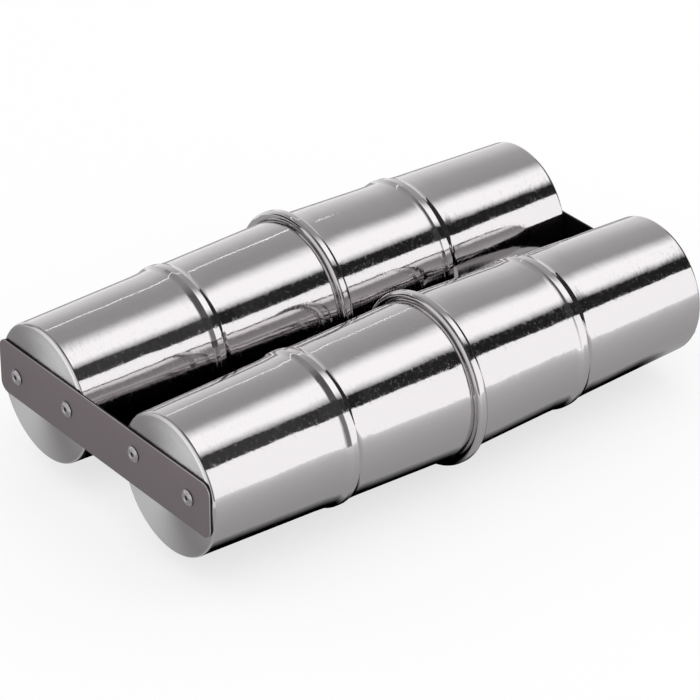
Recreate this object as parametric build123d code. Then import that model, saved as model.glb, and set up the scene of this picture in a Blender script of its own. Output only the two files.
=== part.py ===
from build123d import *
import math
import os

# Double-tube shaker: two closed sheet-metal tubes side by side, tied at both ends by a riveted strap.
# Each tube is two tapered cups, mouth to mouth, locked together by a rolled seam that stands out as a band.
# Millimetres, +Z up. The tubes lie along X, the near end at -X and the front tube at -Y.
# The origin lies under the middle of the assembly, at the lowest point of the seam bands it rests on.

# Tubes
tube_length = 250.0  # over the outside of the two closed ends
tube_spacing = 84.5  # between the two tubes' axes
end_diameter = 59.3  # outside, at a closed end
mouth_diameter = 67.2  # outside, at the seam
sheet = 0.6  # thickness of the cups' sheet
end_corner_radius = 1.6  # outside, where a cup's wall turns into its end

# Stiffening bead, one round each cup
bead_from_end = 66.0  # closed end to the middle of the bead
bead_height = 1.1
bead_width = 6.2  # at its foot
bead_crest_width = 2.0
bead_crest_radius = 2.4
bead_foot_radius = 4.0

# Rolled seam
seam_plane = 4.0  # where the two cups' flanges meet, beyond the middle of the tube
seam_height = 3.3  # of the band, above the cups' mouths
seam_width = 5.3  # along the tube, over the band's two sides
seam_near_radius = 1.8  # outside, at the band's free edge
seam_far_radius = 2.2  # outside, at the band's other edge
seam_foot_radius = 0.9  # where the far cup's wall turns up into the band
hook_foot_radius = 0.4  # inside the bend where the near cup's wall turns up into its lip
hook_clearance = 0.06  # between the near cup's lip and the band over it
hook_end_gap = 0.95  # between the near cup's lip and the band's turned-down side
seam_edge_gap = 0.25  # under the band's free edge

# Straps
strap_length = 141.5
strap_height = 24.4
strap_thickness = 1.2
strap_corner_radius = 4.5
near_strap_rise = 1.9  # the near strap's middle above the tubes' axes
far_strap_drop = 3.2  # the far strap's middle below them
far_strap_shift = 2.5  # the far strap's middle towards the rear tube

# Blind rivets: from the tube's axis, outwards or inwards along the strap, and above the near strap's middle
outer_rivet_reach = 15.7
inner_rivet_reach = 19.6
rivet_row_shift = 1.0  # of all four, towards the rear tube
rear_outer_rivet_rise = -1.5
rear_inner_rivet_rise = 0.7
front_inner_rivet_rise = 2.5
front_outer_rivet_rise = 0.7
rivet_diameter = 3.2
rivet_hole_clearance = 0.1
rivet_head_diameter = 7.0
rivet_head_height = 1.1
rivet_head_rim = 0.3  # straight rim under the dome
rivet_dome_fullness = 0.8  # share of its height that the dome has reached half way in
rivet_bulb_diameter = 4.6
rivet_bulb_length = 2.2  # swollen stretch behind the sheet
rivet_tail_length = 1.4  # unswollen stretch behind the bulb
mandrel_diameter = 1.8
mandrel_clearance = 0.04
mandrel_recess = 0.55  # broken end below the top of the rivet's dome
mandrel_head_diameter = 2.8
mandrel_head_length = 1.5
mandrel_head_fullness = 0.75  # share of its radius that the head keeps near its end

# Loose shot in each tube
shot_diameter = 5.0
shot_spacing = 5.4  # between the middles of neighbouring balls
shot_clearance = 0.4  # least, to the tube
shot_rows = 6  # along the tube
shot_bottom_count = 4  # in each bottom row, round the wall
shot_top_count = 3  # in each row lying on those

seam_diameter = mouth_diameter + 2 * seam_height  # outside of the band
hook_lip_radius = seam_far_radius - 2 * sheet  # inside the lip's bend, which nests in the band's
tube_axis_height = seam_diameter / 2
end_x = tube_length / 2
mouth_radius = mouth_diameter / 2
end_radius = end_diameter / 2
front_axis = Vector(0, -tube_spacing / 2, tube_axis_height)
rear_axis = Vector(0, tube_spacing / 2, tube_axis_height)
turn_about = Axis((0, 0, tube_axis_height), (0, 1, 0))  # the far end is the near end turned over about this


def cone_radius(along, cone_length):
    """Outside radius of a cup at a distance from its closed end."""
    return end_radius + (mouth_radius - end_radius) * along / cone_length


def bead_points(cone_length):
    """Corners of the stiffening bead, before they are rounded."""
    offsets = [
        (-bead_width / 2, 0),
        (-bead_crest_width / 2, bead_height),
        (bead_crest_width / 2, bead_height),
        (bead_width / 2, 0),
    ]
    return [(bead_from_end + du, cone_radius(bead_from_end + du, cone_length) + dr) for du, dr in offsets]


def bead_radii():
    """Rounding of the stiffening bead's corners."""
    return [bead_foot_radius, bead_crest_radius, bead_crest_radius, bead_foot_radius]


def spun_sheet(points, radii):
    """Sheet-metal shell of revolution about X, from its outside line and the radius of each bend."""
    outside = FilletPolyline(*points, radius=radii)
    section = Wire(outside.edges()).offset_2d(sheet, side=Side.RIGHT)
    return revolve(Face(section), Axis.X)


def near_cup_shell():
    """Near cup, closed end at x = 0: its lip turns out and back, to be hooked by the far cup's band."""
    cone_length = end_x + seam_plane
    flange = cone_length - sheet
    lip_radius = seam_diameter / 2 - 2 * sheet - hook_clearance
    lip_end = cone_length + 2 * sheet - seam_width + hook_end_gap
    points = [(0, 0), (0, end_radius), *bead_points(cone_length)]
    points += [(flange, cone_radius(flange, cone_length)), (flange, lip_radius), (lip_end, lip_radius)]
    return spun_sheet(points, [end_corner_radius, *bead_radii(), hook_foot_radius, hook_lip_radius])


def far_cup_shell():
    """Far cup, closed end at x = 0: its lip turns out into the band and down behind the near cup's lip."""
    cone_length = end_x - seam_plane
    flange = cone_length - sheet
    edge = flange + seam_width
    near_cone_length = end_x + seam_plane
    near_wall = cone_radius(tube_length - edge, near_cone_length)
    points = [(0, 0), (0, end_radius), *bead_points(cone_length)]
    points += [
        (flange, cone_radius(flange, cone_length)),
        (flange, seam_diameter / 2),
        (edge, seam_diameter / 2),
        (edge, near_wall + seam_edge_gap),
    ]
    bends = [end_corner_radius, *bead_radii(), seam_foot_radius, seam_far_radius, seam_near_radius]
    return spun_sheet(points, bends)


def rivet_places(axis_y, strap_rise):
    """The two rivets of one tube at the near end, as points on the tube's end face."""
    outward = math.copysign(1, axis_y)
    if axis_y > 0:
        outer_rise, inner_rise = rear_outer_rivet_rise, rear_inner_rivet_rise
    else:
        outer_rise, inner_rise = front_outer_rivet_rise, front_inner_rivet_rise
    strap_z = tube_axis_height + strap_rise
    return [
        Vector(-end_x, axis_y + rivet_row_shift + outward * outer_rivet_reach, strap_z + outer_rise),
        Vector(-end_x, axis_y + rivet_row_shift - outward * inner_rivet_reach, strap_z + inner_rise),
    ]


def to_far_end(shape):
    """Turns a piece of the near end over to the far end."""
    return shape.rotate(turn_about, 180)


def rivet_holes(axis_y, strap_rise):
    """Drills through strap and sheet at one tube's near end."""
    through_both = 4 * (strap_thickness + sheet)
    drill = Cylinder((rivet_diameter + rivet_hole_clearance) / 2, through_both, rotation=(0, 90, 0))
    return [Pos(place) * drill for place in rivet_places(axis_y, strap_rise)]


def near_cup(axis):
    """One tube's near cup in its place, drilled for its rivets."""
    cup = Pos(-end_x, axis.Y, axis.Z) * near_cup_shell()
    return cup - rivet_holes(axis.Y, near_strap_rise)


def far_cup(axis):
    """One tube's far cup in its place, drilled for its rivets."""
    cup = Pos(-end_x, axis.Y, axis.Z) * far_cup_shell()
    return to_far_end(cup - rivet_holes(axis.Y, far_strap_drop))


def strap(strap_rise, strap_shift):
    """Strap across the two near ends, its middle this far above the tubes' axes and towards the rear tube."""
    outline = RectangleRounded(strap_length, strap_height, strap_corner_radius)
    plane = Plane((-end_x, strap_shift, tube_axis_height + strap_rise), x_dir=(0, -1, 0), z_dir=(-1, 0, 0))
    plate = extrude(plane * outline, strap_thickness)
    return plate - rivet_holes(front_axis.Y, strap_rise) - rivet_holes(rear_axis.Y, strap_rise)


def rivet_body():
    """Set blind rivet about X: domed head at -X of the strap, bulb at +X of the sheet, hollow for its mandrel."""
    bore = mandrel_diameter / 2 + mandrel_clearance
    shank = rivet_diameter / 2
    bulb = rivet_bulb_diameter / 2
    under_head = -strap_thickness
    rim = under_head - rivet_head_rim
    top = under_head - rivet_head_height
    bulb_start = sheet
    tail_start = bulb_start + rivet_bulb_length
    tail_end = tail_start + rivet_tail_length
    head = rivet_head_diameter / 2
    dome_mid = (rim + (top - rim) * rivet_dome_fullness, (head + bore) / 2)
    section = [
        Line((top, bore), (tail_end, bore)),
        Line((tail_end, bore), (tail_end, shank)),
        Line((tail_end, shank), (tail_start, shank)),
        ThreePointArc((tail_start, shank), ((bulb_start + tail_start) / 2, bulb), (bulb_start, (shank + bulb) / 2)),
        Line((bulb_start, (shank + bulb) / 2), (bulb_start, shank)),
        Line((bulb_start, shank), (under_head, shank)),
        Line((under_head, shank), (under_head, head)),
        Line((under_head, head), (rim, head)),
        ThreePointArc((rim, head), dome_mid, (top, bore)),
    ]
    return revolve(make_face(section), Axis.X)


def rivet_mandrel():
    """Broken-off mandrel left in a set rivet: stem in the bore, head behind the tail."""
    stem = mandrel_diameter / 2
    head = mandrel_head_diameter / 2
    broken_end = -strap_thickness - rivet_head_height + mandrel_recess
    head_start = sheet + rivet_bulb_length + rivet_tail_length
    head_end = head_start + mandrel_head_length
    head_mid = (head_start + mandrel_head_length * mandrel_head_fullness, head * mandrel_head_fullness)
    section = [
        Line((broken_end, 0), (head_end, 0)),
        ThreePointArc((head_end, 0), head_mid, (head_start, head)),
        Line((head_start, head), (head_start, stem)),
        Line((head_start, stem), (broken_end, stem)),
        Line((broken_end, stem), (broken_end, 0)),
    ]
    return revolve(make_face(section), Axis.X)


def at_rivets(piece, axis, strap_rise):
    """Copies of a rivet's piece at one tube's two rivets at the near end."""
    return Compound(children=[Pos(place) * piece for place in rivet_places(axis.Y, strap_rise)])


def shot_layer(first_x, rows, count, seat_radius):
    """Middles of balls lying in rows along the tube, side by side round the wall below its axis."""
    step = 2 * math.asin(shot_spacing / 2 / seat_radius)
    places = []
    for row in range(rows):
        for column in range(count):
            angle = (column - (count - 1) / 2) * step
            across = seat_radius * math.sin(angle)
            down = seat_radius * math.cos(angle)
            places.append((first_x + row * shot_spacing, across, -down))
    return places


def shot_charge(axis):
    """Loose balls of one tube, rolled to its near end."""
    ball = shot_diameter / 2
    first_x = -end_x + sheet + shot_clearance + ball
    wall = cone_radius(sheet + shot_clearance, end_x + seam_plane) - sheet
    seat_radius = wall - shot_clearance - ball
    layer_rise = shot_spacing / math.sqrt(2)
    places = shot_layer(first_x, shot_rows, shot_bottom_count, seat_radius)
    places += shot_layer(first_x + shot_spacing / 2, shot_rows - 1, shot_top_count, seat_radius - layer_rise)
    return Compound(children=[Pos(axis + Vector(*place)) * Sphere(ball) for place in places])


def shot_travel():
    """How far a tube's shot can run, from the near end to the far end."""
    pile = (shot_rows - 1) * shot_spacing + shot_diameter
    return tube_length - 2 * (sheet + shot_clearance) - pile


def build():
    """Every piece by its node's name."""
    pieces = {}
    pieces["near_strap"] = strap(near_strap_rise, 0)
    pieces["far_strap"] = to_far_end(strap(far_strap_drop, far_strap_shift))
    for name, axis in (("front", front_axis), ("rear", rear_axis)):
        pieces[f"{name}_near_cup"] = near_cup(axis)
        pieces[f"{name}_far_cup"] = far_cup(axis)
        pieces[f"{name}_near_rivets"] = at_rivets(rivet_body(), axis, near_strap_rise)
        pieces[f"{name}_far_rivets"] = to_far_end(at_rivets(rivet_body(), axis, far_strap_drop))
        pieces[f"{name}_near_mandrels"] = at_rivets(rivet_mandrel(), axis, near_strap_rise)
        pieces[f"{name}_far_mandrels"] = to_far_end(at_rivets(rivet_mandrel(), axis, far_strap_drop))
        pieces[f"{name}_shot"] = shot_charge(axis)
    return pieces


os.makedirs("parts", exist_ok=True)
for node, piece in build().items():
    export_step(piece, f"parts/{node}.step")
    print(node, len(piece.solids()), "solids", round(piece.volume, 1), "mm3")
print("shot travel", round(shot_travel(), 2), "mm")
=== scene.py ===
"""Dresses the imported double-tube shaker and stands it in a plain studio.

Everything is in metres in the CAD frame: the tubes lie along X with the near end at -X, the front tube at -Y and +Z up.
"""

import logging
import math
from dataclasses import dataclass, field
from enum import Enum
from typing import Iterable, Mapping, Sequence, Union

import bmesh
import bpy
from mathutils import Matrix, Vector

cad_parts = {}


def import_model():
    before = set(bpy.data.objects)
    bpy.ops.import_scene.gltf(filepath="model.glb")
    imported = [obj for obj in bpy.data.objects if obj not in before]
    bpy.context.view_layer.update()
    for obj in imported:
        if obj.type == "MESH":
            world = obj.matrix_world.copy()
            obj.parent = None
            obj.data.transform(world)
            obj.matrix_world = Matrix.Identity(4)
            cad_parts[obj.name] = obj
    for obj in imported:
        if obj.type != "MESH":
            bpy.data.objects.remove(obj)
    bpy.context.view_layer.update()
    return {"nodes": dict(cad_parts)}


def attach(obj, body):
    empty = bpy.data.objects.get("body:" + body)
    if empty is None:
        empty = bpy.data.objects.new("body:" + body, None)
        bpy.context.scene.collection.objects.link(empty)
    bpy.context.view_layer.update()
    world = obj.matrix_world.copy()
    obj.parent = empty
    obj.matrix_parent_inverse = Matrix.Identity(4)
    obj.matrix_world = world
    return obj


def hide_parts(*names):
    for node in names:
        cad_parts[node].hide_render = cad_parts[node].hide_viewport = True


LOG = logging.getLogger("shaker")
MM = 0.001
SHELL_BODY = "shell"
SAME_PLACE = 1e-6  # metres within which a vertex lies on a ring
MERGE_WITHIN = 1e-7  # metres within which vertices become one
LARGE_FACE_WEIGHT = 100  # lets the larger faces decide the shading
RGBA_PARTS = 4
MIX_SHARE, MIX_FIRST, MIX_SECOND, MIX_RESULT = 0, 6, 7, 2  # a colour Mix node's sockets
UPRIGHT = Matrix.Rotation(math.pi / 2, 4, "Y")  # stands a flat drawing up across X

Colour = tuple[float, float, float]
Point = tuple[float, float, float]
Span = tuple[float, float]
Value = Union["Sock", float, Colour]

WHITE: Colour = (1.0, 1.0, 1.0)


class End(Enum):
    """The two ends of the shaker."""

    NEAR = "near"
    FAR = "far"


class Side(Enum):
    """The two tubes, with the sign of their place along Y."""

    FRONT = -1
    REAR = 1

    @property
    def label(self) -> str:
        """The tube's word in the nodes' names."""
        return self.name.lower()


class Bevelled(Enum):
    """What a bevel works on."""

    EDGES = "EDGES"
    VERTICES = "VERTICES"


class Sock:
    """A node's output that takes part in Python arithmetic."""

    def __init__(self, graph: "Graph", socket: bpy.types.NodeSocket) -> None:
        """Wraps one output socket of a graph."""
        self.graph = graph
        self.socket = socket

    def _math(self, operation: str, first: Value, second: Value) -> "Sock":
        """Adds one Math node."""
        return self.graph.node("ShaderNodeMath", {"operation": operation}, {0: first, 1: second})

    def __add__(self, other: Value) -> "Sock":
        """self + other."""
        return self._math("ADD", self, other)

    def __radd__(self, other: Value) -> "Sock":
        """other + self."""
        return self._math("ADD", other, self)

    def __sub__(self, other: Value) -> "Sock":
        """self - other."""
        return self._math("SUBTRACT", self, other)

    def __rsub__(self, other: Value) -> "Sock":
        """other - self."""
        return self._math("SUBTRACT", other, self)

    def __mul__(self, other: Value) -> "Sock":
        """self * other."""
        return self._math("MULTIPLY", self, other)

    def __rmul__(self, other: Value) -> "Sock":
        """other * self."""
        return self._math("MULTIPLY", other, self)

    def __pow__(self, other: Value) -> "Sock":
        """self ** other."""
        return self._math("POWER", self, other)

    def __abs__(self) -> "Sock":
        """The size of self without its sign."""
        return self._math("ABSOLUTE", self, 0.0)

    def least(self, other: Value) -> "Sock":
        """The smaller of self and other."""
        return self._math("MINIMUM", self, other)

    def most(self, other: Value) -> "Sock":
        """The larger of self and other."""
        return self._math("MAXIMUM", self, other)


@dataclass(frozen=True)
class Pattern:
    """A noise texture.

    Args:
        cells: Its cells for each metre, along X, Y and Z.
        detail: Finer layers.
        weight: Weight of the finer layers.
    """

    cells: Point
    detail: float = 2.0
    weight: float = 0.5


class Graph:
    """Builds the nodes of one node tree."""

    def __init__(self, tree: bpy.types.NodeTree) -> None:
        """Starts from an empty tree.

        Args:
            tree: The node tree of a material or of the world.
        """
        self.tree = tree
        tree.nodes.clear()

    def add(
        self,
        kind: str,
        settings: Mapping[str, object] | None = None,
        inputs: Mapping[int | str, Value] | None = None,
    ) -> bpy.types.Node:
        """Adds a node, sets it and fills its inputs.

        Args:
            kind: The node's type.
            settings: Its properties, set first; stops are the (place, colour) pairs of a ramp.
            inputs: Values or links by socket.

        Returns:
            The node.
        """
        made = self.tree.nodes.new(kind)
        for name, value in (settings or {}).items():
            if name == "stops":
                self._set_stops(made.color_ramp, value)
            else:
                setattr(made, name, value)
        for key, value in (inputs or {}).items():
            socket = made.inputs[key]
            if isinstance(value, Sock):
                self.tree.links.new(value.socket, socket)
            elif isinstance(value, tuple) and len(socket.default_value) == RGBA_PARTS:
                socket.default_value = (*value, 1.0)
            else:
                socket.default_value = value
        return made

    def node(
        self,
        kind: str,
        settings: Mapping[str, object] | None = None,
        inputs: Mapping[int | str, Value] | None = None,
        out: int | str = 0,
    ) -> Sock:
        """Adds a node as add does, and hands back its output called out."""
        return Sock(self, self.add(kind, settings, inputs).outputs[out])

    @staticmethod
    def _set_stops(ramp: bpy.types.ColorRamp, stops: Sequence[tuple[float, Colour]]) -> None:
        """Gives a ramp its stops.

        Args:
            ramp: The ramp of a new node.
            stops: Places of 0 to 1 with their colours.
        """
        while len(ramp.elements) < len(stops):
            ramp.elements.new(1.0)
        for element, (place, colour) in zip(ramp.elements, stops):
            element.position = place
            element.color = (*colour, 1.0)

    def place(self) -> tuple[Sock, Sock, Sock, Sock]:
        """Object coordinates.

        Returns:
            The vector, and its x, y and z.
        """
        vector = self.node("ShaderNodeTexCoord", out="Object")
        split = self.add("ShaderNodeSeparateXYZ", inputs={0: vector})
        return (vector, *(Sock(self, split.outputs[axis]) for axis in "XYZ"))

    def ramp_up(self, value: Value, low: float, high: float) -> Sock:
        """A smooth step from 0 at low to 1 at high."""
        settings = {"interpolation_type": "SMOOTHSTEP"}
        return self.node("ShaderNodeMapRange", settings, {"Value": value, "From Min": low, "From Max": high})

    def straight(self, value: Value, low: float, high: float) -> Sock:
        """A straight ramp from 0 at low to 1 at high."""
        return self.node("ShaderNodeMapRange", None, {"Value": value, "From Min": low, "From Max": high})

    def seen(self) -> Sock:
        """Tells rays from the camera, off gloss and through glass from the light that is spread.

        Returns:
            1 for those rays and 0 for the others.
        """
        path = self.add("ShaderNodeLightPath")
        kinds = ("Camera", "Glossy", "Transmission")
        camera, gloss, glass = (Sock(self, path.outputs[f"Is {kind} Ray"]) for kind in kinds)
        return (camera + gloss + glass).least(1.0)

    def noise(self, vector: Sock, pattern: Pattern) -> Sock:
        """Noise of 0 to 1.

        Args:
            vector: Where it is read.
            pattern: Its texture.

        Returns:
            The noise's value.
        """
        scaled = self.node("ShaderNodeMapping", inputs={"Vector": vector, "Scale": pattern.cells})
        return self.node(
            "ShaderNodeTexNoise",
            inputs={"Vector": scaled, "Scale": 1.0, "Detail": pattern.detail, "Roughness": pattern.weight},
        )

    def blend(self, share: Value, first: Value, second: Value) -> Sock:
        """A colour between two others."""
        inputs = {MIX_SHARE: share, MIX_FIRST: first, MIX_SECOND: second}
        return self.node("ShaderNodeMix", {"data_type": "RGBA"}, inputs, MIX_RESULT)

    def bump(self, height: Value) -> Sock:
        """A normal bumped by a height in metres."""
        inputs = {"Height": height, "Distance": 1.0, "Strength": 1.0}
        return self.node("ShaderNodeBump", inputs=inputs, out="Normal")

    def metal(self, inputs: Mapping[int | str, Value]) -> None:
        """Ends the tree in a Principled metal with these inputs."""
        shader = self.node("ShaderNodeBsdfPrincipled", inputs={"Metallic": 1.0, **inputs})
        self.add("ShaderNodeOutputMaterial", inputs={"Surface": shader})


def new_graph(name: str) -> tuple[bpy.types.Material, Graph]:
    """An empty node material and its graph.

    Args:
        name: The material's name.

    Returns:
        The material and the graph of its tree.
    """
    material = bpy.data.materials.new(name)
    material.use_nodes = True
    return material, Graph(material.node_tree)


@dataclass(frozen=True)
class PolishedSheet:
    """Mirror-polished sheet of the cups, satin on their flat ends, where two painted highlight sectors lie between two
    darker painted shade sectors.
    """

    slot: str = "polished_cups"
    colour: Colour = (0.66, 0.638, 0.648)
    # painted light on the flat ends: darker painted shade sectors and two painted highlight sectors
    end_colour: Colour = (0.40, 0.385, 0.39)
    end_light_colour: Colour = (0.97, 0.96, 0.965)
    axis_y: float = 42.25 * MM
    axis_z: float = 36.9 * MM
    axis_switch: float = 1.0 * MM
    axis_clear: float = 1.0 * MM
    end_span: Span = (124.3 * MM, 124.95 * MM)
    bead_x: float = 59.0 * MM
    seam_x: float = 2.0 * MM
    drawn_span: Span = (3.0 * MM, 14.0 * MM)
    wave: Pattern = Pattern((30.0, 42.0, 42.0), 1.0)
    wave_height: float = 0.24 * MM
    dent: Pattern = Pattern((85.0, 110.0, 110.0), 1.0)
    dent_height: float = 0.060 * MM
    pucker: Pattern = Pattern((90.0, 140.0, 140.0))
    pucker_height: float = 0.07 * MM
    ripple: Pattern = Pattern((420.0, 260.0, 260.0))
    ripple_height: float = 0.008 * MM
    comb: Pattern = Pattern((600.0, 260.0, 260.0), 1.0)
    comb_height: float = 0.023 * MM
    rings: Pattern = Pattern((4200.0, 0.0, 0.0), 1.0)
    ring_height: float = 0.060 * MM
    roughness: float = 0.055
    smear: Pattern = Pattern((45.0, 60.0, 60.0), 4.0, 0.6)
    smear_span: Span = (0.45, 0.75)
    smear_rough: float = 0.02
    lines: Pattern = Pattern((2600.0, 40.0, 40.0), 1.0)
    line_rough: float = 0.02
    speck: Pattern = Pattern((800.0, 600.0, 600.0), 3.0, 0.7)
    speck_span: Span = (0.50, 0.74)
    speck_rough: float = 0.15
    end_roughness: float = 0.20
    end_grain: Pattern = Pattern((900.0, 900.0, 900.0), 3.0)
    end_grain_rough: float = 0.08

    def make(self) -> bpy.types.Material:
        """Makes the material.

        Returns:
            The material of all four cups.
        """
        material, graph = new_graph("polished_sheet")
        vector, x, y, z = graph.place()
        flat_end = graph.ramp_up(abs(x), *self.end_span)
        # Distances from the nearer tube's axis.
        across = y - self.axis_y * (2 * graph.straight(y, -self.axis_switch, self.axis_switch) - 1)
        up = z - self.axis_z
        from_axis = (across**2.0 + up**2.0).most(self.axis_clear**2) ** 0.5
        # Painted highlight: two opposite light sectors, halfway between up and across, painted into the flat ends'
        # colour.
        painted_glint = 0.5 * ((up - across) ** 2.0) * from_axis**-2.0
        smear = graph.ramp_up(graph.noise(vector, self.smear), *self.smear_span)
        speck = graph.ramp_up(graph.noise(vector, self.speck), *self.speck_span)
        lines = graph.noise(vector, self.lines)
        wall_rough = self.roughness + self.smear_rough * smear + self.line_rough * lines + self.speck_rough * speck
        end_rough = self.end_roughness + self.end_grain_rough * graph.noise(vector, self.end_grain)
        from_ring = abs(abs(x) - self.bead_x).least(abs(x - self.seam_x))
        drawn = 1 - graph.ramp_up(from_ring, *self.drawn_span)
        bumps = (
            self.wave_height * graph.noise(vector, self.wave)
            + self.dent_height * graph.noise(vector, self.dent)
            + self.pucker_height * (drawn * graph.noise(vector, self.pucker))
            + self.ripple_height * graph.noise(vector, self.ripple)
            + self.comb_height * graph.noise(vector, self.comb)
        )
        rings = flat_end * self.ring_height * graph.noise(from_axis, self.rings)
        # painted highlight and painted shade on the flat ends, from the two sectors
        end_painted_light = graph.blend(painted_glint, self.end_colour, self.end_light_colour)
        graph.metal(
            {
                "Base Color": graph.blend(flat_end, self.colour, end_painted_light),
                "Roughness": wall_rough + flat_end * (end_rough - wall_rough),
                "Normal": graph.bump((1 - flat_end) * bumps + rings),
            }
        )
        return material


@dataclass(frozen=True)
class SatinStrap:
    """Strap with a satin face, grained along its length, a painted highlight on its rim and painted shade on its back
    and edges.
    """

    slot: str = "satin_straps"
    colour: Colour = (0.248, 0.212, 0.222)
    light_colour: Colour = (0.286, 0.246, 0.257)
    # painted highlight on the bevelled rim; below it, painted shade on the back and the edge walls
    rim_colour: Colour = (0.58, 0.55, 0.56)
    dark_colour: Colour = (0.022, 0.019, 0.020)
    roughness: float = 0.42
    dark_roughness: float = 0.5
    grain: Pattern = Pattern((2500.0, 60.0, 2500.0))
    grain_height: float = 0.0025 * MM
    grain_rough: float = 0.10
    cloud: Pattern = Pattern((60.0, 40.0, 60.0), 3.0)
    cloud_share: float = 0.6
    rim_span: Span = (125.72 * MM, 125.84 * MM)
    face_span: Span = (126.10 * MM, 126.18 * MM)

    def make(self) -> bpy.types.Material:
        """Makes the material.

        Returns:
            The material of both straps.
        """
        material, graph = new_graph("satin_strap")
        vector, x, _, _ = graph.place()
        grain = graph.noise(vector, self.grain)
        cloud = graph.noise(vector, self.cloud)
        rim = graph.ramp_up(abs(x), *self.rim_span)
        face = graph.ramp_up(abs(x), *self.face_span)
        shade = self.cloud_share * cloud + (1 - self.cloud_share) * grain
        satin = graph.blend(shade, self.colour, self.light_colour)
        satin_rough = self.roughness + self.grain_rough * (grain - 0.5)
        graph.metal(
            {
                # painted shade on the back and edges, painted highlight on the rim, satin on the face
                "Base Color": graph.blend(face, graph.blend(rim, self.dark_colour, self.rim_colour), satin),
                "Roughness": self.dark_roughness + face * (satin_rough - self.dark_roughness),
                "Normal": graph.bump(self.grain_height * grain),
            }
        )
        return material


@dataclass(frozen=True)
class RivetMetal:
    """Bright rivet heads, dulled in patches, with painted shade where they sit on the strap."""

    slot: str = "rivets"
    colour: Colour = (0.52, 0.495, 0.505)
    dull_colour: Colour = (0.22, 0.208, 0.212)
    # painted shade in the crevice under the head's rim
    foot_colour: Colour = (0.03, 0.027, 0.028)
    foot_span: Span = (126.42 * MM, 126.58 * MM)
    roughness: float = 0.18
    dull: Pattern = Pattern((700.0, 700.0, 700.0), 4.0, 0.65)
    dull_span: Span = (0.45, 0.75)
    dull_rough: float = 0.15
    scuff: Pattern = Pattern((3000.0, 3000.0, 3000.0))
    scuff_height: float = 0.002 * MM
    scuff_rough: float = 0.06

    def make(self) -> bpy.types.Material:
        """Makes the material.

        Returns:
            The material of all rivets.
        """
        material, graph = new_graph("rivet_metal")
        vector, x, _, _ = graph.place()
        dull = graph.ramp_up(graph.noise(vector, self.dull), *self.dull_span)
        scuff = graph.noise(vector, self.scuff)
        clear_of_strap = graph.ramp_up(abs(x), *self.foot_span)
        face = graph.blend(dull, self.colour, self.dull_colour)
        graph.metal(
            {
                # painted shade at the head's foot, then the head's own colour
                "Base Color": graph.blend(clear_of_strap, self.foot_colour, face),
                "Roughness": self.roughness + self.dull_rough * dull + self.scuff_rough * scuff,
                "Normal": graph.bump(self.scuff_height * scuff),
            }
        )
        return material


@dataclass(frozen=True)
class MandrelSteel:
    """Dull broken steel, coloured near black as painted shade down the rivet's bore."""

    slot: str = "mandrels"
    # painted shade: near black stands in for the shade in the bore
    colour: Colour = (0.020, 0.018, 0.019)
    bright_colour: Colour = (0.20, 0.19, 0.19)
    bright_span: Span = (0.45, 0.75)
    roughness: float = 0.4
    grain: Pattern = Pattern((2200.0, 2200.0, 2200.0), 4.0, 0.7)
    grain_height: float = 0.03 * MM
    grain_rough: float = 0.2

    def make(self) -> bpy.types.Material:
        """Makes the material.

        Returns:
            The material of all mandrels.
        """
        material, graph = new_graph("mandrel_steel")
        vector, _, _, _ = graph.place()
        grain = graph.noise(vector, self.grain)
        bright = graph.ramp_up(grain, *self.bright_span)
        graph.metal(
            {
                "Base Color": graph.blend(bright, self.colour, self.bright_colour),
                "Roughness": self.roughness + self.grain_rough * grain,
                "Normal": graph.bump(self.grain_height * grain),
            }
        )
        return material


@dataclass(frozen=True)
class ShotSteel:
    """Plain steel balls, scuffed by rolling."""

    slot: str = "shot"
    colour: Colour = (0.50, 0.50, 0.51)
    scuffed_colour: Colour = (0.36, 0.36, 0.37)
    roughness: float = 0.22
    scuff: Pattern = Pattern((900.0, 900.0, 900.0), 4.0, 0.6)
    scuff_span: Span = (0.4, 0.7)
    scuff_rough: float = 0.2

    def make(self) -> bpy.types.Material:
        """Makes the material.

        Returns:
            The material of both charges.
        """
        material, graph = new_graph("shot_steel")
        vector, _, _, _ = graph.place()
        scuff = graph.ramp_up(graph.noise(vector, self.scuff), *self.scuff_span)
        graph.metal(
            {
                "Base Color": graph.blend(scuff, self.colour, self.scuffed_colour),
                "Roughness": self.roughness + self.scuff_rough * scuff,
            }
        )
        return material


@dataclass(frozen=True)
class Corner:
    """A corner of a turned section, in metres.

    Args:
        along: Place along the axis.
        radius: Distance from the axis.
        rounding: Radius of the bend, or 0 for a sharp corner.
        steps: Facets of the bend.
    """

    along: float
    radius: float
    rounding: float = 0.0
    steps: int = 6

    @property
    def point(self) -> Vector:
        """The corner in the section's plane."""
        return Vector((self.along, self.radius))


def bevel(
    mesh: bmesh.types.BMesh,
    geom: Iterable[bmesh.types.BMEdge | bmesh.types.BMVert],
    reach: float,
    steps: int,
    what: Bevelled = Bevelled.EDGES,
) -> None:
    """Rounds edges or vertices of a mesh.

    Args:
        mesh: The mesh.
        geom: What is rounded.
        reach: How far the bend goes to each side.
        steps: Facets of the bend.
        what: Whether these are edges or vertices.
    """
    bmesh.ops.bevel(
        mesh,
        geom=geom,
        offset=reach,
        offset_type="OFFSET",
        affect=what.value,
        segments=steps,
        profile=0.5,
        clamp_overlap=False,
        material=-1,
    )


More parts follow.
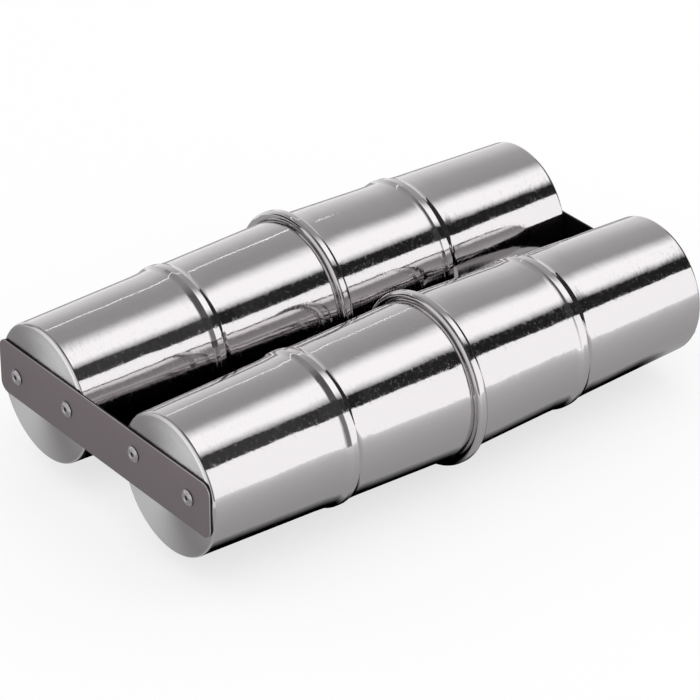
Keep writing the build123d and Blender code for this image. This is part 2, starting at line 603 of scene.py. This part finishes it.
@dataclass
class Turning:
    """A piece turned about X from the corners of its section."""

    turns: int = 256
    mesh: bmesh.types.BMesh = field(default_factory=bmesh.new)

    def spin(self, corners: Sequence[Corner], closed: bool) -> None:
        """Spins a section and rounds its corners.

        Args:
            corners: The section's corners in order.
            closed: Whether the last corner joins the first.
        """
        verts = [self.mesh.verts.new((c.along, 0.0, c.radius)) for c in corners]
        pairs = list(zip(verts, verts[1:])) + ([(verts[-1], verts[0])] if closed else [])
        edges = [self.mesh.edges.new(pair) for pair in pairs]
        bmesh.ops.spin(
            self.mesh,
            geom=verts + edges,
            cent=(0, 0, 0),
            axis=(1, 0, 0),
            dvec=(0, 0, 0),
            angle=math.tau,
            steps=self.turns,
            use_merge=True,
        )
        bmesh.ops.remove_doubles(self.mesh, verts=self.mesh.verts, dist=SAME_PLACE)
        for index, corner in enumerate(corners):
            if corner.rounding > 0:
                before = corners[index - 1].point - corner.point
                after = corners[(index + 1) % len(corners)].point - corner.point
                turn = math.pi - before.angle(after)
                bevel(self.mesh, self.ring(corner), corner.rounding * math.tan(turn / 2), corner.steps)

    def ring(self, corner: Corner) -> list[bmesh.types.BMEdge]:
        """The ring of one corner.

        Args:
            corner: The corner, before it is rounded.

        Returns:
            The ring's edges.
        """

        def on_it(vert: bmesh.types.BMVert) -> bool:
            """Whether a vertex lies on the ring."""
            away = abs(math.hypot(vert.co.y, vert.co.z) - corner.radius)
            return abs(vert.co.x - corner.along) < SAME_PLACE and away < SAME_PLACE

        return [edge for edge in self.mesh.edges if all(on_it(v) for v in edge.verts)]

    def close(self) -> None:
        """Merges what meets and turns the faces outwards."""
        bmesh.ops.remove_doubles(self.mesh, verts=self.mesh.verts, dist=MERGE_WITHIN)
        bmesh.ops.recalc_face_normals(self.mesh, faces=self.mesh.faces)


def other_side(corners: Sequence[Corner], sheet: float) -> list[Corner]:
    """The far side of a bent sheet.

    Args:
        corners: One side's corners, with the sheet on the right of their line.
        sheet: The sheet's thickness.

    Returns:
        The other side's corners, in the same order.
    """
    lines = [(b.point - a.point).normalized() for a, b in zip(corners, corners[1:])]
    rights = [Vector((d.y, -d.x)) for d in lines]
    moved = []
    for index, corner in enumerate(corners):
        before, after = rights[max(index - 1, 0)], rights[min(index, len(rights) - 1)]
        point = corner.point + (before + after) * (sheet / (1 + before.dot(after)))
        rounding = 0.0
        if corner.rounding > 0:
            left_turn = before.cross(after) > 0
            rounding = corner.rounding + (sheet if left_turn else -sheet)
        moved.append(Corner(point.x, point.y, max(rounding, 0.0), corner.steps))
    return moved


def made_object(name: str, mesh: bmesh.types.BMesh, material: bpy.types.Material) -> bpy.types.Object:
    """Makes an object of a mesh and links it to the scene.

    Args:
        name: The object's name.
        mesh: Its mesh, which is freed.
        material: Its finish.

    Returns:
        The object.
    """
    data = bpy.data.meshes.new(name)
    mesh.to_mesh(data)
    mesh.free()
    data.materials.append(material)
    made = bpy.data.objects.new(name, data)
    bpy.context.scene.collection.objects.link(made)
    return made


def finished(
    name: str, mesh: bmesh.types.BMesh, material: bpy.types.Material, node: str
) -> bpy.types.Object:
    """Makes a piece of a closed mesh that is in its place, riding on the shell, with its faces outwards.

    Args:
        name: The piece's name.
        mesh: Its mesh, which is freed.
        material: Its finish.
        node: The CAD node that it stands for.

    Returns:
        The piece.
    """
    if mesh.calc_volume(signed=True) < 0:
        bmesh.ops.reverse_faces(mesh, faces=mesh.faces)
    piece = made_object(name, mesh, material)
    piece.data.shade_smooth()
    normals = piece.modifiers.new("even_shading", "WEIGHTED_NORMAL")
    normals.mode = "FACE_AREA"
    normals.weight = LARGE_FACE_WEIGHT
    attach(piece, SHELL_BODY)
    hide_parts(node)
    LOG.info("%s: %d faces in place of %s", name, len(piece.data.polygons), node)
    return piece


@dataclass(frozen=True)
class Layout:
    """Sizes that the pieces share, from the CAD."""

    tube_length: float = 250.0 * MM
    tube_spacing: float = 84.5 * MM
    axis_height: float = 36.9 * MM
    sheet: float = 0.6 * MM
    strap_thickness: float = 1.2 * MM
    near_strap_rise: float = 1.9 * MM
    far_strap_drop: float = 3.2 * MM
    far_strap_shift: float = 2.5 * MM
    hole_radius: float = 1.65 * MM
    hole_steps: int = 40
    outer_reach: float = 15.7 * MM
    inner_reach: float = 19.6 * MM
    row_shift: float = 1.0 * MM
    rear_rises: Span = (-1.5 * MM, 0.7 * MM)
    front_rises: Span = (0.7 * MM, 2.5 * MM)

    @property
    def end_x(self) -> float:
        """The outside of a closed end."""
        return self.tube_length / 2

    def axis(self, side: Side) -> Vector:
        """The point of a tube's axis at x = 0."""
        return Vector((0.0, side.value * self.tube_spacing / 2, self.axis_height))

    def strap_rise(self, end: End) -> float:
        """The strap's middle above the axes, before its end is turned to its place."""
        return self.near_strap_rise if end is End.NEAR else self.far_strap_drop

    def rivets(self, side: Side, end: End) -> list[Vector]:
        """The two rivets of one tube at one end, on the tube's end face, before that end is turned to its place.

        Args:
            side: Which tube.
            end: Which end.

        Returns:
            The outer and the inner rivet's place.
        """
        rises = self.rear_rises if side is Side.REAR else self.front_rises
        reaches = (self.outer_reach, -self.inner_reach)
        middle = self.axis(side) + Vector((-self.end_x, self.row_shift, self.strap_rise(end)))
        return [middle + Vector((0.0, side.value * reach, rise)) for reach, rise in zip(reaches, rises)]

    def draw_hole(self, mesh: bmesh.types.BMesh, place: Vector) -> list[bmesh.types.BMEdge]:
        """Draws the edge of a rivet hole, across X.

        Args:
            mesh: The mesh that gets it.
            place: The hole's middle.

        Returns:
            Its edges.
        """
        at = Matrix.Translation(place) @ UPRIGHT
        made = bmesh.ops.create_circle(mesh, segments=self.hole_steps, radius=self.hole_radius, matrix=at)
        return list({edge for vert in made["verts"] for edge in vert.link_edges})

    def turned(self, end: End) -> Matrix:
        """What takes a piece of the near end to an end: the far end is the near end turned over about Y.

        Args:
            end: Which end.

        Returns:
            The move, which is none for the near end.
        """
        if end is End.NEAR:
            return Matrix.Identity(4)
        lift = Matrix.Translation((0.0, 0.0, self.axis_height))
        return lift @ Matrix.Rotation(math.pi, 4, "Y") @ lift.inverted()


@dataclass
class Cup:
    """One drawn cup: flat end, tapered wall with a bead, and its half of the rolled seam."""

    layout: Layout
    side: Side
    end: End
    finish: bpy.types.Material
    end_radius: float = 29.65 * MM
    mouth_radius: float = 33.6 * MM
    end_corner: float = 1.6 * MM
    bead_from_end: float = 66.0 * MM
    bead_height: float = 1.1 * MM
    bead_width: float = 6.4 * MM
    crest_width: float = 2.8 * MM
    crest_rounding: float = 2.0 * MM
    foot_rounding: float = 5.5 * MM
    sweep_height: float = 0.27 * MM
    sweep_width: float = 6.0 * MM
    sweep_rounding: float = 85.0 * MM
    flare_height: float = 0.20 * MM
    flare_width: float = 5.5 * MM
    flare_rounding: float = 70.0 * MM
    seam_plane: float = 4.0 * MM
    seam_radius: float = 36.9 * MM
    seam_width: float = 5.3 * MM
    seam_near_rounding: float = 1.8 * MM
    seam_far_rounding: float = 2.2 * MM
    seam_foot_rounding: float = 0.9 * MM
    hook_foot_rounding: float = 0.4 * MM
    hook_lip_rounding: float = 1.0 * MM
    hook_clearance: float = 0.06 * MM
    hook_end_gap: float = 0.95 * MM
    edge_gap: float = 0.25 * MM
    flat_margin: float = 0.6 * MM

    @property
    def name(self) -> str:
        """The cup's CAD node."""
        return f"{self.side.label}_{self.end.value}_cup"

    def wall(self, along: float, cone: float) -> float:
        """Outside radius at a distance from the closed end of a cup of that length."""
        return self.end_radius + (self.mouth_radius - self.end_radius) * along / cone

    def outline(self) -> list[Corner]:
        """The outside line from the flat end to the lip.

        Returns:
            Its corners, with the sheet on their right.
        """
        layout = self.layout
        ahead = self.seam_plane if self.end is End.NEAR else -self.seam_plane
        cone = layout.end_x + ahead
        flange = cone - layout.sheet
        corners = [
            Corner(0.0, self.end_radius - self.end_corner - self.flat_margin),
            Corner(0.0, self.end_radius, self.end_corner, steps=10),
        ]
        foot = self.bead_width / 2
        flank = (
            (foot + self.sweep_width, 0.0, self.sweep_rounding),
            (foot, self.sweep_height, self.foot_rounding),
            (self.crest_width / 2, self.bead_height, self.crest_rounding),
        )
        for half, height, rounding in [(-h, z, r) for h, z, r in flank] + list(flank[::-1]):
            along = self.bead_from_end + half
            corners.append(Corner(along, self.wall(along, cone) + height, rounding))
        if self.end is End.NEAR:
            lip = self.seam_radius - 2 * layout.sheet - self.hook_clearance
            lip_end = cone + 2 * layout.sheet - self.seam_width + self.hook_end_gap
            corners += [
                Corner(flange, self.wall(flange, cone), self.hook_foot_rounding),
                Corner(flange, lip, self.hook_lip_rounding),
                Corner(lip_end, lip),
            ]
        else:
            edge = flange + self.seam_width
            near_wall = self.wall(layout.tube_length - edge, layout.end_x + self.seam_plane)
            flare = flange - self.flare_width
            corners += [
                Corner(flare, self.wall(flare, cone), self.flare_rounding),
                Corner(flange, self.wall(flange, cone) + self.flare_height, self.seam_foot_rounding),
                Corner(flange, self.seam_radius, self.seam_far_rounding, steps=8),
                Corner(edge, self.seam_radius, self.seam_near_rounding, steps=8),
                Corner(edge, near_wall + self.edge_gap),
            ]
        return corners

    def build(self) -> bpy.types.Object:
        """Builds the cup in its place.

        Returns:
            The finished piece.
        """
        layout = self.layout
        outside = self.outline()
        inside = other_side(outside, layout.sheet)
        turning = Turning()
        turning.spin(outside + inside[::-1], closed=False)
        self._close_end(turning, outside[0], inside[0])
        turning.close()
        axis = layout.axis(self.side)
        home = Matrix.Translation((-layout.end_x, axis.y, axis.z))
        turning.mesh.transform(layout.turned(self.end) @ home)
        return finished(f"{self.name}_sheet", turning.mesh, self.finish, self.name)

    def _close_end(self, turning: Turning, outer: Corner, inner: Corner) -> None:
        """Fills the flat end's two faces around the rivet holes, and walls the holes.

        Args:
            turning: The spun cup, open at its end.
            outer: The rim of its outside face.
            inner: The rim of its inside face.
        """
        mesh = turning.mesh
        axis = self.layout.axis(self.side)
        rims = []
        for corner, facing in ((outer, -1.0), (inner, 1.0)):
            edges = turning.ring(corner)
            holes = []
            for rivet in self.layout.rivets(self.side, self.end):
                place = Vector((corner.along, rivet.y - axis.y, rivet.z - axis.z))
                holes.append(self.layout.draw_hole(mesh, place))
            around = edges + [edge for hole in holes for edge in hole]
            bmesh.ops.triangle_fill(mesh, use_beauty=True, edges=around, normal=(facing, 0.0, 0.0))
            rims.append(holes)
        for hole_outside, hole_inside in zip(*rims):
            bmesh.ops.bridge_loops(mesh, edges=hole_outside + hole_inside)


@dataclass
class Strap:
    """A flat strap across two closed ends, drilled for its rivets."""

    layout: Layout
    end: End
    finish: bpy.types.Material
    length: float = 141.5 * MM
    height: float = 24.4 * MM
    corner: float = 4.5 * MM
    corner_steps: int = 10
    edge: float = 0.25 * MM
    edge_steps: int = 3
    rim_angle: float = 1.0

    @property
    def name(self) -> str:
        """The strap's CAD node."""
        return f"{self.end.value}_strap"

    def build(self) -> bpy.types.Object:
        """Builds the strap in its place.

        Returns:
            The finished piece.
        """
        layout = self.layout
        mesh = bmesh.new()
        bmesh.ops.create_grid(mesh, x_segments=1, y_segments=1, size=0.5)
        bmesh.ops.scale(mesh, vec=(self.height, self.length, 1.0), verts=mesh.verts)
        bevel(mesh, mesh.verts, self.corner, self.corner_steps, Bevelled.VERTICES)
        bmesh.ops.delete(mesh, geom=mesh.faces, context="FACES_ONLY")
        middle_z = layout.axis_height + layout.strap_rise(self.end)
        middle_y = layout.far_strap_shift if self.end is End.FAR else 0.0
        mesh.transform(Matrix.Translation((-layout.end_x, middle_y, middle_z)) @ UPRIGHT)
        for side in Side:
            for place in layout.rivets(side, self.end):
                layout.draw_hole(mesh, place)
        bmesh.ops.triangle_fill(mesh, use_beauty=True, edges=mesh.edges, normal=(-1.0, 0.0, 0.0))
        raised = bmesh.ops.extrude_face_region(mesh, geom=mesh.faces)
        front = [v for v in raised["geom"] if isinstance(v, bmesh.types.BMVert)]
        bmesh.ops.translate(mesh, vec=(-layout.strap_thickness, 0.0, 0.0), verts=front)
        bmesh.ops.recalc_face_normals(mesh, faces=mesh.faces)
        rims = [edge for edge in mesh.edges if edge.is_manifold and edge.calc_face_angle() > self.rim_angle]
        bevel(mesh, rims, self.edge, self.edge_steps)
        mesh.transform(layout.turned(self.end))
        return finished(f"{self.name}_plate", mesh, self.finish, self.name)


@dataclass
class RivetPair:
    """The two set blind rivets of one tube at one end, with their broken mandrels."""

    layout: Layout
    side: Side
    end: End
    metal: bpy.types.Material
    steel: bpy.types.Material
    shank: float = 1.6 * MM
    bore: float = 0.94 * MM
    bore_depth: float = 0.32 * MM
    bore_rounding: float = 0.08 * MM
    mouth: float = 1.50 * MM
    mouth_rounding: float = 0.14 * MM
    crown: float = 2.4 * MM
    crown_drop: float = 0.05 * MM
    crown_rounding: float = 1.9 * MM
    head: float = 3.5 * MM
    head_height: float = 1.1 * MM
    head_rim: float = 0.3 * MM
    head_rounding: float = 0.2 * MM
    foot_inset: float = 0.12 * MM
    small_rounding: float = 0.1 * MM
    bulb: float = 2.3 * MM
    bulb_length: float = 2.2 * MM
    bulb_foot_rounding: float = 0.2 * MM
    bulb_rounding: float = 1.2 * MM
    tail_length: float = 1.4 * MM
    tail_rounding: float = 0.3 * MM
    stem: float = 0.9 * MM
    stem_rounding: float = 0.08 * MM
    recess: float = 0.34 * MM
    break_dip: float = 0.06 * MM
    break_peak: float = 0.1 * MM
    break_peak_radius: float = 0.35 * MM
    mandrel_head: float = 1.4 * MM
    mandrel_head_length: float = 1.5 * MM
    mandrel_straight_share: float = 0.7
    mandrel_shoulder: float = 0.6 * MM
    mandrel_tip: float = 0.6 * MM
    mandrel_tip_rounding: float = 0.4 * MM
    steps: int = 48

    def _node(self, kind: str) -> str:
        """The CAD node of the rivets or the mandrels."""
        return f"{self.side.label}_{self.end.value}_{kind}"

    def _at_both(self, corners: Sequence[Corner], closed: bool) -> bmesh.types.BMesh:
        """Turns a section at both rivets.

        Args:
            corners: The section about a rivet's axis, its origin on the tube's end face.
            closed: Whether the section is closed.

        Returns:
            One mesh with both copies in their places.
        """
        both = bmesh.new()
        for place in self.layout.rivets(self.side, self.end):
            turning = Turning(self.steps)
            turning.spin(corners, closed)
            turning.close()
            turning.mesh.transform(self.layout.turned(self.end) @ Matrix.Translation(place))
            loose = bpy.data.meshes.new("loose")
            turning.mesh.to_mesh(loose)
            turning.mesh.free()
            both.from_mesh(loose)
            bpy.data.meshes.remove(loose)
        return both

    def build(self) -> list[bpy.types.Object]:
        """Builds the rivets and the mandrels in their places.

        Returns:
            Both pieces.
        """
        layout = self.layout
        under = -layout.strap_thickness
        rim = under - self.head_rim
        top = under - self.head_height
        tail = layout.sheet + self.bulb_length
        end = tail + self.tail_length
        rivet = [
            Corner(top + self.bore_depth, self.bore, self.bore_rounding, steps=3),
            Corner(top, self.mouth, self.mouth_rounding, steps=4),
            Corner(top + self.crown_drop, self.crown, self.crown_rounding, steps=10),
            Corner(rim, self.head, self.head_rounding, steps=5),
            Corner(under, self.head - self.foot_inset, self.small_rounding, steps=3),
            Corner(under, self.shank),
            Corner(layout.sheet, self.shank),
            Corner(layout.sheet, (self.shank + self.bulb) / 2, self.bulb_foot_rounding, steps=3),
            Corner(layout.sheet + self.bulb_length / 2, self.bulb, self.bulb_rounding),
            Corner(tail, self.shank, self.tail_rounding, steps=3),
            Corner(end, self.shank, self.small_rounding, steps=3),
            Corner(end, self.bore),
        ]
        shoulder = end + self.mandrel_straight_share * self.mandrel_head_length
        stop = end + self.mandrel_head_length
        broken = top + self.recess
        mandrel = [
            Corner(broken + self.break_dip, 0.0),
            Corner(broken - self.break_peak, self.break_peak_radius, self.small_rounding, steps=3),
            Corner(broken, self.stem, self.stem_rounding, steps=3),
            Corner(end, self.stem),
            Corner(end, self.mandrel_head, self.small_rounding, steps=3),
            Corner(shoulder, self.mandrel_head, self.mandrel_shoulder),
            Corner(stop, self.mandrel_tip, self.mandrel_tip_rounding, steps=4),
            Corner(stop, 0.0),
        ]
        heads = self._node("rivets")
        stems = self._node("mandrels")
        return [
            finished(f"{heads}_set", self._at_both(rivet, True), self.metal, heads),
            finished(f"{stems}_broken", self._at_both(mandrel, False), self.steel, stems),
        ]


@dataclass
class ShotCharge:
    """The loose balls sealed in one tube, which keep their CAD mesh."""

    side: Side
    finish: bpy.types.Material

    def dress(self, nodes: Mapping[str, bpy.types.Object]) -> None:
        """Gives the charge its finish.

        Args:
            nodes: The CAD nodes by name.
        """
        piece = nodes[f"{self.side.label}_shot"]
        piece.data.materials.clear()
        piece.data.materials.append(self.finish)
        LOG.info("%s: CAD mesh with its finish", piece.name)


@dataclass(frozen=True)
class Card:
    """A flat studio card, seen only in reflections.

    Args:
        name: Its name.
        corner: One of its corners.
        length: Its long edge from that corner.
        height: Its short edge from that corner.
        glow: Its brightness, where 1 is white.
        fade: The places along Y where it starts and ends to fade out, either way.
        side_fade: The same along X.
        lights_floor: Whether the floor is lit by it too.
    """

    name: str
    corner: Point
    length: Point
    height: Point
    glow: float
    fade: Span | None = None
    side_fade: Span | None = None
    lights_floor: bool = False

    def build(self) -> bpy.types.Object:
        """Builds the card.

        Returns:
            The card, which is part of the stage.
        """
        mesh = bmesh.new()
        foot, length, height = Vector(self.corner), Vector(self.length), Vector(self.height)
        corners = (foot, foot + length, foot + length + height, foot + height)
        mesh.faces.new([mesh.verts.new(corner) for corner in corners])
        card = made_object(self.name, mesh, self._surface())
        card.visible_camera = False
        card.visible_shadow = False
        card.visible_diffuse = self.lights_floor
        return card

    def _cover(self, graph: Graph) -> Sock | None:
        """How much of the card is there.

        Args:
            graph: The graph of the card's material.

        Returns:
            The share from 0 to 1, or None where the card is whole.
        """
        if self.fade is None and self.side_fade is None:
            return None
        _, x, y, _ = graph.place()
        spans = ((x, self.side_fade), (y, self.fade))
        shares = [1 - graph.ramp_up(at, *span) for at, span in spans if span is not None]
        return shares[0] * shares[1] if len(shares) > 1 else shares[0]

    def _surface(self) -> bpy.types.Material:
        """Makes the card's glow.

        Returns:
            Its material, clear where the card fades out.
        """
        material, graph = new_graph(self.name)
        surface = graph.node("ShaderNodeEmission", inputs={"Color": WHITE, "Strength": self.glow})
        cover = self._cover(graph)
        if cover is not None:
            clear = graph.node("ShaderNodeBsdfTransparent")
            surface = graph.node("ShaderNodeMixShader", inputs={0: cover, 1: clear, 2: surface})
        graph.add("ShaderNodeOutputMaterial", inputs={"Surface": surface})
        return material


@dataclass(frozen=True)
class Mat(Card):
    """A dark mat under the shaker, seen only in reflections, as a painted shadow in place of the shaker's shadow there:
    solid below the tubes, with a faint wide border.

    Args:
        solid: Its solid middle ends between these distances from the middle line.
        solid_ends: The same, from x = 0.
        front_border: Its border in front fades out between these places along -Y.
        rear_border: Its border behind ends between these places along Y.
        border_share: How dark the border is.
        border_ends: The border's ends along X, each over a short distance.
        end_blur: That distance.
    """

    solid: Span = (0.060, 0.086)
    solid_ends: Span = (0.110, 0.150)
    front_border: Span = (0.080, 0.450)
    rear_border: Span = (0.335, 0.365)
    border_share: float = 0.56
    border_ends: Span = (-0.150, 0.400)
    end_blur: float = 0.032

    def _cover(self, graph: Graph) -> Sock:
        """How much of the mat is there.

        Args:
            graph: The graph of the mat's material.

        Returns:
            The darker of the middle and the border.
        """
        _, x, y, _ = graph.place()
        left, right = self.border_ends
        middle = (1 - graph.ramp_up(abs(y), *self.solid)) * (1 - graph.ramp_up(abs(x), *self.solid_ends))
        across = (1 - graph.straight(-1 * y, *self.front_border)) * (1 - graph.ramp_up(y, *self.rear_border))
        along = graph.ramp_up(x, left, left + self.end_blur) * (1 - graph.ramp_up(x, right - self.end_blur, right))
        return middle.most(self.border_share * across * along)


@dataclass
class Studio:
    """Pale floor, soft surroundings and the cards around the shaker."""

    floor_radius: float = 5.0
    floor_steps: int = 96
    floor_drop: float = 0.2 * MM
    floor_colour: Colour = (0.95, 0.95, 0.95)
    floor_white: float = 0.7
    sky: tuple[tuple[float, Colour], ...] = (
        (0.0, (0.90, 0.90, 0.90)),
        (0.25, (0.75, 0.75, 0.75)),
        (0.55, (0.50, 0.495, 0.50)),
        (0.80, (0.40, 0.395, 0.40)),
    )
    cards: tuple[Card, ...] = (
        Card(
            "soft_box", (-0.1, -0.35, 0.843), (1.1, 0.0, 0.0), (0.0, 0.6, 0.0), 1.4, (-0.11, 0.21), lights_floor=True
        ),
        Card(
            "box_lip", (-0.1, -0.6, 0.843), (1.1, 0.0, 0.0), (0.0, 0.25, 0.0), 1.4, (-0.35, -0.65), lights_floor=True
        ),
        Card(
            "box_left_flag", (-0.9, -0.75, 0.841), (1.2, 0.0, 0.0), (0.0, 1.1, 0.0), 0.12, (-0.05, 0.35), (-0.01, 0.27)
        ),
        Card(
            "back_left_flag", (-0.9, -0.1, 0.842), (1.2, 0.0, 0.0), (0.0, 1.4, 0.0), 0.33, side_fade=(-0.01, 0.27)
        ),
        Card(
            "box_right_flag",
            (0.82, -0.60, 0.841),
            (0.58, 0.0, 0.0),
            (0.0, 0.81, 0.0),
            0.03,
            fade=(-0.11, 0.21),
            side_fade=(1.02, 0.82),
        ),
        Card("front_reflector", (-0.08, -0.42, 0.0), (1.33, 0.0, 0.0), (0.0, -0.256, 0.519), 1.33),
        Card(
            "front_left_flag",
            (-0.48, -0.418, 0.0),
            (0.60, 0.0, 0.0),
            (0.0, -0.256, 0.519),
            0.24,
            side_fade=(-0.12, 0.08),
        ),
        Card("dark_gap", (-1.40, -1.0, 0.40), (3.60, 0.0, 0.0), (0.0, 0.60, 0.62), 0.016),
        Card("gap_haze", (-1.40, -0.995, 0.40), (1.92, 0.0, 0.0), (0.0, 0.60, 0.62), 0.05, side_fade=(0.36, 0.52)),
        Card("right_flag", (1.10, -0.75, 0.0), (0.0, 1.20, 0.0), (0.0, 0.0, 0.86), 0.03),
        Card("left_reflector", (-0.21, -0.26, 0.0), (0.0, 0.46, 0.0), (-0.06, 0.0, 0.35), 0.85),
        Card("left_mat", (-0.30, -0.20, -0.05 * MM), (0.182, 0.0, 0.0), (0.0, 0.90, 0.0), 0.45),
        Card("left_back_flag", (-0.60, 0.32, 0.0), (0.0, 1.10, 0.0), (0.0, 0.0, 0.55), 0.05),
        Card("light_line", (-0.10, 0.180, 0.195), (0.25, 0.0, 0.0), (0.0, -0.0015, 0.0026), 2.5),
        # painted shadow: a black sheet under the shaker that reflections see in place of its shadow
        Mat("shadow_mat", (-0.16, -0.50, -0.1 * MM), (0.58, 0.0, 0.0), (0.0, 0.90, 0.0), 0.0),
    )

    def build(self) -> None:
        """Builds the floor, the surroundings and the cards."""
        mesh = bmesh.new()
        bmesh.ops.create_circle(mesh, cap_ends=True, segments=self.floor_steps, radius=self.floor_radius)
        bmesh.ops.translate(mesh, vec=(0.0, 0.0, -self.floor_drop), verts=mesh.verts)
        floor = made_object("floor", mesh, self._floor_surface())
        for card in self.cards:
            card.build()
        self._surround()
        LOG.info("studio: floor and %d cards", len(self.cards))

    def _floor_surface(self) -> bpy.types.Material:
        """Makes a pale floor that keeps the shadow.

        Returns:
            Its material, lifted to white where it is seen.
        """
        material, graph = new_graph("pale_floor")
        lit = graph.node("ShaderNodeBsdfDiffuse", inputs={"Color": self.floor_colour})
        white = graph.node("ShaderNodeEmission", inputs={"Color": WHITE, "Strength": 1.0})
        shader = graph.node("ShaderNodeMixShader", inputs={0: self.floor_white * graph.seen(), 1: lit, 2: white})
        graph.add("ShaderNodeOutputMaterial", inputs={"Surface": shader})
        return material

    def _surround(self) -> None:
        """Fills the world with a soft grey that is white at the horizon, and lights the floor with white."""
        world = bpy.data.worlds.new("soft_surround")
        world.use_nodes = True
        bpy.context.scene.world = world
        graph = Graph(world.node_tree)
        direction = graph.node("ShaderNodeTexCoord", out="Generated")
        upward = graph.node("ShaderNodeSeparateXYZ", inputs={0: direction}, out="Z")
        sky = graph.node("ShaderNodeValToRGB", {"stops": self.sky}, {0: upward})
        colour = graph.blend(graph.seen(), WHITE, sky)
        background = graph.node("ShaderNodeBackground", inputs={"Color": colour, "Strength": 1.0})
        graph.add("ShaderNodeOutputWorld", inputs={"Surface": background})


@dataclass(frozen=True)
class PhotoCamera:
    """The photograph's viewpoint, in degrees, metres and millimetres of lens."""

    azimuth: float = 38.376
    elevation: float = 30.956
    eye: Point = (-0.769815, -0.968324, 0.772723)
    lens: float = 181.611
    sensor: float = 36.0

    def build(self) -> bpy.types.Object:
        """Builds the camera and makes it the scene's.

        Returns:
            The camera.
        """
        around, down = math.radians(self.azimuth), math.radians(self.elevation)
        ahead = Vector((math.sin(around) * math.cos(down), math.cos(around) * math.cos(down), -math.sin(down)))
        data = bpy.data.cameras.new("photo_camera")
        data.lens = self.lens
        data.sensor_width = self.sensor
        camera = bpy.data.objects.new("photo_camera", data)
        camera.location = self.eye
        camera.rotation_euler = ahead.to_track_quat("-Z", "Y").to_euler()
        bpy.context.scene.collection.objects.link(camera)
        bpy.context.scene.camera = camera
        return camera


def main() -> None:
    """Builds and dresses every piece, then the studio and the camera."""
    logging.basicConfig(level=logging.INFO, format="%(name)s %(message)s")
    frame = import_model()
    bpy.context.scene.view_settings.view_transform = "Standard"
    layout = Layout()
    sheet, strap = PolishedSheet().make(), SatinStrap().make()
    metal, steel, shot = RivetMetal().make(), MandrelSteel().make(), ShotSteel().make()
    for end in End:
        Strap(layout, end, strap).build()
        for side in Side:
            Cup(layout, side, end, sheet).build()
            RivetPair(layout, side, end, metal, steel).build()
    for side in Side:
        ShotCharge(side, shot).dress(frame["nodes"])
    Studio().build()
    PhotoCamera().build()


if __name__ == "__main__":
    main()
